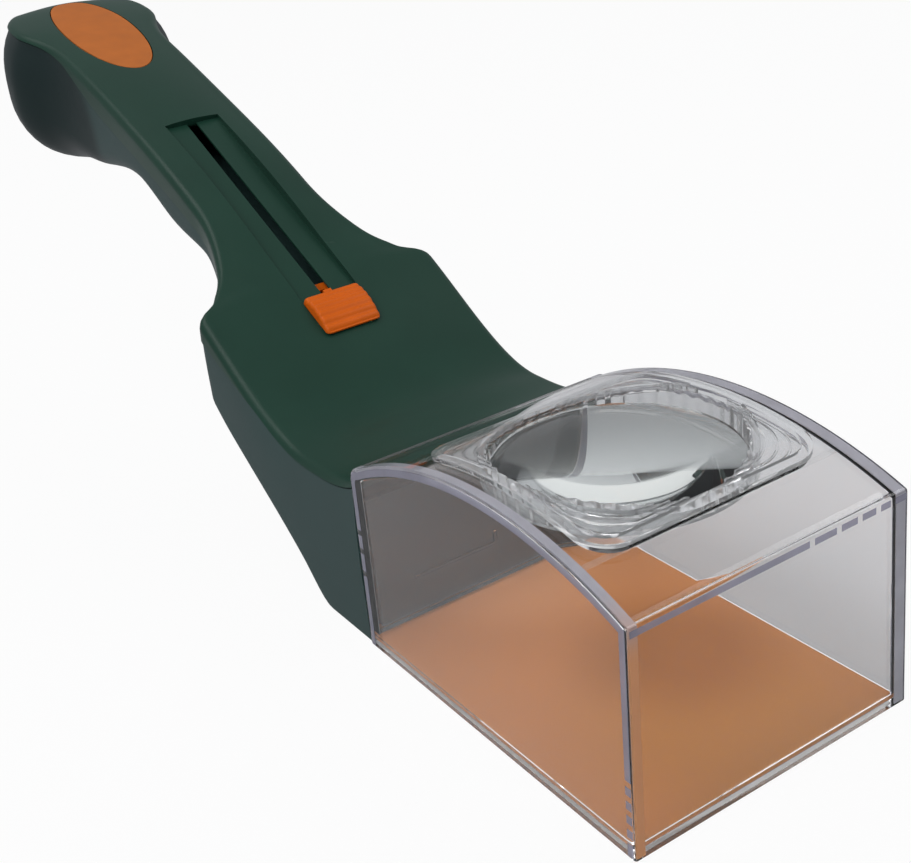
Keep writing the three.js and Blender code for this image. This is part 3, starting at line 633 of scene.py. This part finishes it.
def paint(made, material, picked):
    """Gives a further material to the faces that a test picks by their middle and normal."""
    made.data.materials.append(material)
    for face in made.data.polygons:
        middle = face.center / MM - Vector((SHIFT, 0, 0))
        if picked(middle, face.normal):
            face.material_index = len(made.data.materials) - 1


# Track, in its own frame: x runs down the track, z stands on its floor
TRACK_TOP = top_line(TRACK_AT) + smooth(CROWN, TRACK_AT) - TRACK_DEPTH


def track_point(x, y, z):
    cos, sin = math.cos(TRACK_ANGLE), math.sin(TRACK_ANGLE)
    return (-TRACK_AT + x * cos + z * sin, y, TRACK_TOP - x * sin + z * cos)


def track_block(name, x0, x1, half, z0, z1):
    outline = [(x0, -half), (x1, -half), (x1, half), (x0, half)]
    return extruded(name, outline, z0, z1, track_point)


def along_track(at):
    """Place on the track of a distance behind the box."""
    return (TRACK_AT - at) / math.cos(TRACK_ANGLE)


STEM_FRONT = along_track(STEM_AT) + STEM_LENGTH / 2
STEM_BACK = along_track(STEM_AT) - STEM_LENGTH / 2
SLOT_BACK = STEM_BACK - TRAVEL - GAP
BUTTON_MIDDLE = along_track(BUTTON_AT)
RECESS_BACK = min(SLOT_BACK, BUTTON_MIDDLE - BUTTON_LENGTH / 2 - TRAVEL - GAP)
RECESS_FRONT = BUTTON_MIDDLE + BUTTON_LENGTH


# Housing shells
def ring_at(at, wall, floor=None):
    return [(-at, y, z) for y, z in section(at, wall, floor)]


def skin(name, wall, floor=None):
    """The whole housing as one closed skin, taken in by a wall."""
    return loft(name, [ring_at(at, wall, floor) for at in places(GAP, HOUSING_LENGTH - wall)])


def hollow_of_shells():
    """The space inside the shells, open towards the box."""
    found = places(-GAP - 1, HOUSING_LENGTH - SHELL_WALL * 2, 3)
    return loft("hollow", [ring_at(at, SHELL_WALL, smooth(FLOOR, at)) for at in found])


def parting_side(name, shift, limit):
    """The space between the seam, moved up by a shift, and a limit over or under the part."""
    past = 2
    line = [(-at, seam(min(max(at, 0), HOUSING_LENGTH)) + shift)
            for at in places(-past, HOUSING_LENGTH + past, 2)]
    return side_profile(name, line + [(-HOUSING_LENGTH - past, limit), (past, limit)], -ASIDE, ASIDE)


def make_lower(outer, hollow):
    """The lower shell with its lip and the wells of the four screws."""
    made = skin("housing_lower", LOWER_INSET, 0)
    cut(made, hollow, keep=True)
    common(made, parting_side("below", -GAP / 2, UNDER))
    lip = skin("lip", SHELL_WALL - LIP_OVERLAP)
    cut(lip, skin("lip_inside", SHELL_WALL + LIP_WALL))
    common(lip, parting_side("lip_top", LIP_HEIGHT, UNDER))
    common(lip, parting_side("lip_bottom", -LIP_HEIGHT, OVER))
    join(made, lip)
    for at, y in SHELL_SCREWS:
        tube = upright("tube", WELL_RADIUS + SHELL_WALL, -at, y, 0, parting(at) - SEAT_DEPTH + SEAT)
        join(made, common(tube, outer, keep=True))
    for at, y in SHELL_SCREWS:
        cut(made, upright("screw_well", WELL_RADIUS, -at, y, UNDER, parting(at) - SEAT_DEPTH))
        cut(made, upright("screw_hole", HOLE_RADIUS, -at, y, 0, parting(at)))
    return made


def make_upper(outer, hollow):
    """The upper shell with the slider's recess and slot."""
    made = copy_of(outer, "housing_upper")
    cut(made, hollow)
    common(made, parting_side("above", GAP / 2, OVER))
    tray = track_block("tray", RECESS_BACK - TRAY_WALL, RECESS_FRONT, CHANNEL_HALF + TRAY_WALL,
                       -TRACK_FLOOR, TRAY_HEIGHT)
    join(made, common(tray, outer, keep=True))
    cut(made, track_block("recess", RECESS_BACK, RECESS_FRONT, CHANNEL_HALF, 0, TRAY_HEIGHT))
    cut(made, track_block("slot", SLOT_BACK, STEM_FRONT + GAP, SLOT_HALF, -UNDERCUT_DEPTH, 2))
    cut(made, track_block("slot_under", SLOT_BACK - 1, STEM_FRONT + 1, SLOT_HALF + UNDERCUT,
                          -UNDERCUT_DEPTH, -SLOT_LIP))
    return made


def ellipse(grow):
    """The outline of the thumb pad, grown by a gap."""
    return [((PAD_HALF_LENGTH + grow) * math.cos(a) - PAD_AT, (PAD_HALF_WIDTH + grow) * math.sin(a))
            for a in full_turn(96)]


def make_pad(outer):
    """The thumb pad, flush with the pommel's top, and its pocket in the upper shell."""
    made = plan_profile("pad_surface", ellipse(0), PAD_LOW, PAD_HIGH)
    common(made, outer, keep=True)
    lowered = copy_of(outer, "lowered")
    lowered.data.transform(Matrix.Translation((0, 0, -PAD_THICKNESS * MM)))
    cut(made, lowered, keep=True)
    pocket = plan_profile("pocket", ellipse(GAP), PAD_LOW, PAD_HIGH)
    lowered.data.transform(Matrix.Translation((0, 0, -GAP * MM)))
    return made, cut(pocket, lowered)


outer = skin("outer", 0)
hollow = hollow_of_shells()
lower = make_lower(outer, hollow)
upper = make_upper(outer, hollow)
pad, pocket = make_pad(outer)
cut(upper, pocket)
bpy.data.objects.remove(outer)
for made in (upper, lower, pad):
    soften(made)
dress(upper, green, "green_plastic", "housing", "upper_shell")
dress(lower, dark_green, "dark_green_plastic", "housing", "lower_shell")
dress(pad, pad_orange, "orange_pad", "housing", "thumb_pad")

# Roof of the box: an arc over a chord that climbs towards the front
ROOF_RUN = math.hypot(BOX_LENGTH, FRONT_HEIGHT - BACK_HEIGHT)
ROOF_RADIUS = (ROOF_RUN ** 2 / 4 + ROOF_RISE ** 2) / (2 * ROOF_RISE)
ROOF_TILT = math.atan2(FRONT_HEIGHT - BACK_HEIGHT, BOX_LENGTH)
ROOF_X = BOX_LENGTH / 2 + (ROOF_RADIUS - ROOF_RISE) * math.sin(ROOF_TILT)
ROOF_Z = (FRONT_HEIGHT + BACK_HEIGHT) / 2 - (ROOF_RADIUS - ROOF_RISE) * math.cos(ROOF_TILT)


def roof(x, offset=0.0):
    """Height of the roof, or of an arc round the same centre."""
    return ROOF_Z + math.sqrt((ROOF_RADIUS + offset) ** 2 - (x - ROOF_X) ** 2)


def under_roof(name, offset, bottom=UNDER_RIM, x0=-PAST, x1=BOX_LENGTH + PAST, corner=0.0):
    """The space under the roof, full width; its upper back corner may be rounded."""
    last = x0 + corner
    outline = [(x0, bottom), (x1, bottom)]
    steps = 64
    for i in range(steps + 1):
        x = x1 + (last - x1) * i / steps
        outline.append((x, roof(x, offset)))
    if corner:
        for a in quarter(8)[1:]:
            outline.append((last - corner * math.sin(a), roof(last, offset) - corner * (1 - math.cos(a))))
    return side_profile(name, outline, -ASIDE, ASIDE)


def drafted(name, half):
    """The space between two walls that lean in with the box's draft."""
    low = half - UNDER * math.tan(BOX_DRAFT)
    high = half - OVER_BOX * math.tan(BOX_DRAFT)
    outline = [(-low, UNDER), (low, UNDER), (high, OVER_BOX), (-high, OVER_BOX)]
    return extruded(name, outline, -PAST * 2, BOX_LENGTH + PAST * 2, lambda y, z, x: (x, y, z))


def square_prism(name, half, corner, low=0):
    """An upright prism round the window's centre, a square with rounded corners."""
    outline = []
    for cx, cy, start in ((1, -1, -0.5), (1, 1, 0), (-1, 1, 0.5), (-1, -1, 1)):
        for turn in quarter(8):
            a = start * math.pi + turn
            x = WINDOW_CENTRE + cx * (half - corner) + corner * math.cos(a)
            outline.append((x, cy * (half - corner) + corner * math.sin(a)))
    return plan_profile(name, outline, low, OVER_BOX)


# Clear box with its magnifier's frame
def make_walls():
    """The box, open underneath, with the window and the grooves for the door."""
    made = under_roof("clear_box", 0, 0, 0, BOX_LENGTH, BACK_ROUND)
    common(made, drafted("draft_outer", BOX_HALF))
    bevel(made, EDGE_ROUND, 3)
    inside = under_roof("inside", -BOX_WALL, UNDER_RIM, BOX_WALL, BOX_LENGTH - BOX_WALL)
    common(inside, drafted("draft_inner", HALF_INSIDE))
    bevel(inside, INSIDE_ROUND, 2)
    cut(made, inside)
    groove_end = BOX_LENGTH - BOX_WALL + GROOVE_REACH
    groove_half = HALF_INSIDE + GROOVE_REACH
    cut(made, box_of("groove", -PAST, groove_end, -groove_half, groove_half,
                     DOOR_LOW - GROOVE_SLACK, DOOR_HIGH + GROOVE_SLACK))
    cut(made, box_of("doorway", -PAST, BOX_WALL + 1, -HALF_INSIDE, HALF_INSIDE,
                     UNDER_RIM, DOOR_HIGH + GAP + DOORWAY_SLACK))
    cut(made, square_prism("opening", WINDOW_HALF - LEDGE_WIDTH, WINDOW_CORNER - LEDGE_WIDTH, WINDOW_FLOOR))
    for y0, y1, z0, z1 in BACK_RIDGES:
        join(made, box_of("ridge", BOX_WALL - BACK_RIDGE_ROOT, BOX_WALL + BACK_RIDGE_HEIGHT,
                          y0, y1, z0, z1))
    return made


def deepen_beside_bands(made):
    """Takes the outer faces in by a hair, except in the bands along their edges."""
    between = under_roof("between", -SIDE_BAND, UNDER_RIM, SIDE_BAND, BOX_LENGTH - SIDE_BAND,
                         BACK_ROUND - SIDE_BAND)
    cut(made, cut(between, drafted("depth", BOX_HALF - BAND_STEP)))
    cut(made, under_roof("front_face", -FRONT_BAND, UNDER_RIM, BOX_LENGTH - BAND_STEP))
    for y in FRONT_DASHES:
        cut(made, box_of("dash", BOX_LENGTH - BAND_STEP, BOX_LENGTH + PAST, y, y + DASH_GAP,
                         DASH_LOW, OVER_BOX))
    for x, z in SIDE_DASHES:
        dash = box_of("dash", x - DASH_REACH, x + DASH_REACH, -ASIDE, 0, z, z + DASH_GAP)
        cut(made, cut(dash, drafted("depth", BOX_HALF - BAND_STEP)))


def make_strips():
    """Pale strips that stand for the light caught in the walls' ends."""
    far = STRIP_INSET + STRIP_THICKNESS
    made = under_roof("wall_ends", -STRIP_INSET, STRIP_FOOT, STRIP_INSET, BOX_LENGTH - STRIP_INSET)
    common(made, drafted("strip_outer", BOX_HALF - EDGE_ROUND))
    near_core = (-ASIDE, 1, HALF_INSIDE + STRIP_MARGIN)
    far_core = (-1, ASIDE, HALF_INSIDE - INSIDE_ROUND)  # these strips also cover the inner corner
    for y0, y1, half in (near_core, far_core):
        core = drafted("strip_inner", half)
        cut(made, common(core, box_of("side", -ASIDE, BOX_LENGTH + ASIDE, y0, y1, -ASIDE, OVER_BOX)))
    cut(made, under_roof("strip_below", -far, UNDER_RIM, -PAST_STRIPS, BOX_LENGTH - far))
    soften(made, 30)
    return made


LENS_MIDDLE = roof(WINDOW_CENTRE) - LENS_DROP


def make_magnifier_frame():
    """A dished square frame with a bead, fine lines and a fluted well."""
    half = WINDOW_HALF - GAP
    corner = WINDOW_CORNER - GAP
    made = square_prism("magnifier", half, corner, WINDOW_FLOOR)
    common(made, under_roof("high", FRAME_PROUD))
    cut(made, under_roof("low", -FRAME_SUNK, UNDER))
    bevel(made, FRAME_ROUND)
    dish = square_prism("dish", half - BEAD_WIDTH, corner - BEAD_WIDTH)
    cut(made, cut(dish, under_roof("dish_floor", DISH_RISE, UNDER)))
    well = upright("well", LENS_RADIUS + WELL_WALL, WINDOW_CENTRE, 0, LENS_MIDDLE - LENS_RIM, OVER_BOX,
                   WELL_SIDES)
    join(made, common(well, under_roof("well_top", FRAME_PROUD)))
    fluted = []
    for a in full_turn(FLUTES * 8):
        radius = LENS_RADIUS - FLUTE_INSET + FLUTE_HEIGHT * math.cos(FLUTES * a)
        fluted.append((WINDOW_CENTRE + radius * math.cos(a), radius * math.sin(a)))
    cut(made, plan_profile("well_hole", fluted, WINDOW_FLOOR, OVER_BOX))
    for i in range(LINES):
        out = half - BEAD_WIDTH - LINE_MARGIN - LINE_PITCH * i
        round_out = corner + LINE_TURN * i
        line = square_prism("line", out, round_out)
        cut(line, square_prism("line_inner", out - LINE_WIDTH, round_out - LINE_WIDTH))
        cut(line, under_roof("line_floor", -LINE_DEPTH, UNDER))
        cut(made, line)
    return made


def in_band(middle, normal):
    """Whether a face lies on the bands, which stand proud of the rest of the walls."""
    on_side = abs(middle.y) + middle.z * math.tan(BOX_DRAFT) > BOX_HALF - BAND_STEP / 2
    on_front = middle.x > BOX_LENGTH - BAND_STEP / 2
    return (abs(normal.y) > 0.9 and on_side) or (normal.x > 0.9 and on_front)


def in_frame(middle, normal):
    """Whether a face belongs to the magnifier's frame."""
    inside = max(abs(middle.x - WINDOW_CENTRE), abs(middle.y)) < WINDOW_HALF - LEDGE_WIDTH - PICK_SLACK
    return middle.z > WINDOW_FLOOR and (inside or middle.z > roof(middle.x) + PICK_SLACK)


def make_lens():
    """A lens with a flatter dome below."""
    reach = LENS_RADIUS - LENS_SLACK
    radii = [max(reach * i / DOME_STEPS, LENS_TIP) for i in range(DOME_STEPS + 1)]
    profile = [(r, -LENS_RIM - DOME_UNDER * (1 - (r / reach) ** 2)) for r in radii]
    profile += [(r, LENS_RIM + DOME_OVER * (1 - (r / reach) ** 2)) for r in reversed(radii)]
    made = loft("lens", [[(WINDOW_CENTRE + r * math.cos(a), r * math.sin(a), LENS_MIDDLE + z)
                          for a in full_turn(LENS_SIDES)] for r, z in profile])
    soften(made, 40)
    return made


box = make_walls()
deepen_beside_bands(box)
dress(make_strips(), edge_pale, "clear_plastic", "housing")
join(box, make_magnifier_frame())
even_normals(box, 25)
dress(box, clear_plastic, "clear_plastic", "housing", "catch_box", "magnifier_lens")
# Painted light: the violet bands along the walls' edges
paint(box, edge_violet, in_band)
paint(box, frame_plastic, in_frame)
dress(make_lens(), lens_plastic, "clear_plastic", "housing")


# Slider
def button_ring(t):
    """One cross-section of the button, at a share of its length."""
    x = BUTTON_MIDDLE + BUTTON_LENGTH * (t - 0.5)
    crest = BUTTON_BACK + (BUTTON_FRONT - BUTTON_BACK) * t + 4 * BUTTON_CREST * t * (1 - t)
    near = min(t, 1 - t) * BUTTON_LENGTH / BUTTON_ROUND
    inset = BUTTON_ROUND * (1 - math.sqrt(1 - (1 - near) ** 2)) if near < 1 else 0.0
    rib = RIB_DEPTH * abs(math.cos(math.pi * RIBS * t)) ** 3
    top = max(crest - rib - inset / 2, CAP_LEAST)
    wide = BUTTON_HALF - inset
    bend = min(CAP_ROUND, top - 0.1)
    ring = [(-wide, GAP), (wide, GAP)]
    for side, start in ((1, 0), (-1, math.pi / 2)):
        for turn in quarter(6):
            a = start + turn
            ring.append((side * (wide - bend) + bend * math.cos(a), GAP + top - bend + bend * math.sin(a)))
    return [track_point(x, y, z) for y, z in ring]


def make_button():
    """A crowned cap with rounded ends and ribs across it, on its stem."""
    made = loft("thumb_button", [button_ring(i / BUTTON_STEPS) for i in range(BUTTON_STEPS + 1)])
    join(made, track_block("stem", STEM_BACK + STEM_CUT, STEM_FRONT, SLOT_HALF - GAP, -STEM_DEPTH, GAP + 0.5))
    soften(made, 40)
    return made


def shortened(name, node):
    """A copy of a node's mesh without its back end, which the slot's edge hides on the real slider."""
    made = link(name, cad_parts[node].data.copy())
    work = bmesh.new()
    work.from_mesh(made.data)
    bmesh.ops.remove_doubles(work, verts=work.verts, dist=0.000001)
    work.to_mesh(made.data)
    work.free()
    cut(made, track_block("behind", STEM_BACK - ASIDE, STEM_BACK - TAB, ASIDE, -ASIDE, ASIDE))
    soften(made)
    return made


dress(make_button(), orange, "orange_plastic", "slider", "slider_button")
dress(shortened("shoe", "slider_shoe"), orange, "orange_plastic", "slider", "slider_shoe")
dress(shortened("sheet_end", "trap_door_hook"), door_sheet, "door_sheet", "slider", "trap_door_hook")

# Pieces kept from the frame
RECOATED = {"bulkhead": inner_plastic, "guide_plate": inner_plastic, "trap_door_strap": door_sheet}
RECOATED.update({f"shell_screw_{number}": screw_steel for number in range(1, 5)})
for node, material in RECOATED.items():
    coat(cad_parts[node].data, material)


# Trap door
def make_door():
    """The trap door's panel, which slides in behind the box, as a skin through slices along its length."""
    low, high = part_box("trap_door_panel")
    run = high.x - low.x
    corners = ((low.y, low.z), (high.y, low.z), (high.y, high.z), (low.y, high.z))
    slices = [(low.x + run * i / 16) / MM - SHIFT for i in range(17)]
    made = loft("door_panel", [[(x, y / MM, z / MM) for y, z in corners] for x in slices])
    dress(made, door_sheet, "door_sheet", "trap_door", "trap_door_panel")
    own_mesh(made)


make_door()


# Floor, world, lamps and camera
def math_node(tree, operation, first, second):
    """A math node of a socket and a second socket or number; gives its output."""
    node = tree.nodes.new("ShaderNodeMath")
    node.operation = operation
    tree.links.new(first, node.inputs[0])
    if isinstance(second, float):
        node.inputs[1].default_value = second
    else:
        tree.links.new(second, node.inputs[1])
    return node.outputs[0]


def mix_shaders(tree, share, first, second, target):
    """Mixes two shaders by a share and leads the mix to a target."""
    blend = tree.nodes.new("ShaderNodeMixShader")
    for source, socket in zip((share, first, second), blend.inputs):
        tree.links.new(source, socket)
    tree.links.new(blend.outputs[0], target)


def make_floor():
    """A pale floor that the camera sees white, with the object's shadow left on it."""
    corners = [(x * STAGE_SIZE, y * STAGE_SIZE, STAGE_DROP) for x, y in ((-1, -1), (1, -1), (1, 1), (-1, 1))]
    mesh = bpy.data.meshes.new("floor")
    mesh.from_pydata(corners, [], [(0, 1, 2, 3)])
    material = make_material("pale_floor", (0.52, 0.52, 0.53), 0.9)
    tree = material.node_tree
    seen = tree.nodes.new("ShaderNodeLightPath")
    direct = math_node(tree, "MULTIPLY", seen.outputs["Is Camera Ray"], WHITE_SHARE)
    through = math_node(tree, "MULTIPLY", seen.outputs["Is Transmission Ray"], GLASS_SHARE)
    glow = tree.nodes.new("ShaderNodeEmission")
    glow.inputs["Color"].default_value = (1, 1, 1, 1)
    mix_shaders(tree, math_node(tree, "MAXIMUM", direct, through), tree.nodes["Principled BSDF"].outputs[0],
                glow.outputs[0], tree.nodes["Material Output"].inputs["Surface"])
    mesh.materials.append(material)
    link("floor", mesh)


def make_world():
    """Soft even light, seen white by the camera and through the clear plastic."""
    world = bpy.data.worlds.new("studio")
    bpy.context.scene.world = world
    world.use_nodes = True
    tree = world.node_tree
    background = tree.nodes["Background"]
    background.inputs["Color"].default_value = (0.86, 0.88, 0.92, 1)
    background.inputs["Strength"].default_value = WORLD_STRENGTH
    white = tree.nodes.new("ShaderNodeBackground")
    white.inputs["Color"].default_value = (1, 1, 1, 1)
    seen = tree.nodes.new("ShaderNodeLightPath")
    either = math_node(tree, "MAXIMUM", seen.outputs["Is Camera Ray"], seen.outputs["Is Transmission Ray"])
    mix_shaders(tree, either, background.outputs[0], white.outputs[0],
                tree.nodes["World Output"].inputs["Surface"])


def lamp(name, place, target, size, power):
    """A round soft lamp that looks at a target."""
    light = bpy.data.lights.new(name, "AREA")
    light.shape = "DISK"
    light.size = size
    light.energy = power
    made = link(name, light)
    made.location = place
    made.rotation_euler = (Vector(target) - Vector(place)).to_track_quat("-Z", "Y").to_euler()


def make_camera():
    """The camera at the photograph's viewing angle."""
    camera = bpy.data.cameras.new("camera")
    camera.sensor_width = SENSOR
    camera.lens = FOCAL_LENGTH
    made = link("camera", camera)
    made.location = EYE_AT
    made.rotation_euler = [math.radians(a) for a in EYE_TURN]
    bpy.context.scene.camera = made


make_floor()
make_world()
lamp("key", (0.3, -0.7, 1.1), MIDDLE, 0.9, 9)
lamp("fill", (0.8, -0.7, 0.35), MIDDLE, 1.0, 3)
lamp("rim", (0.5, 0.8, 0.9), MIDDLE, 0.8, 5)
lamp("edge", (-0.38, -0.3, 1.0), (-0.05, 0, 0.05), 0.5, 2)
make_camera()
bpy.context.scene.view_settings.view_transform = "Standard"
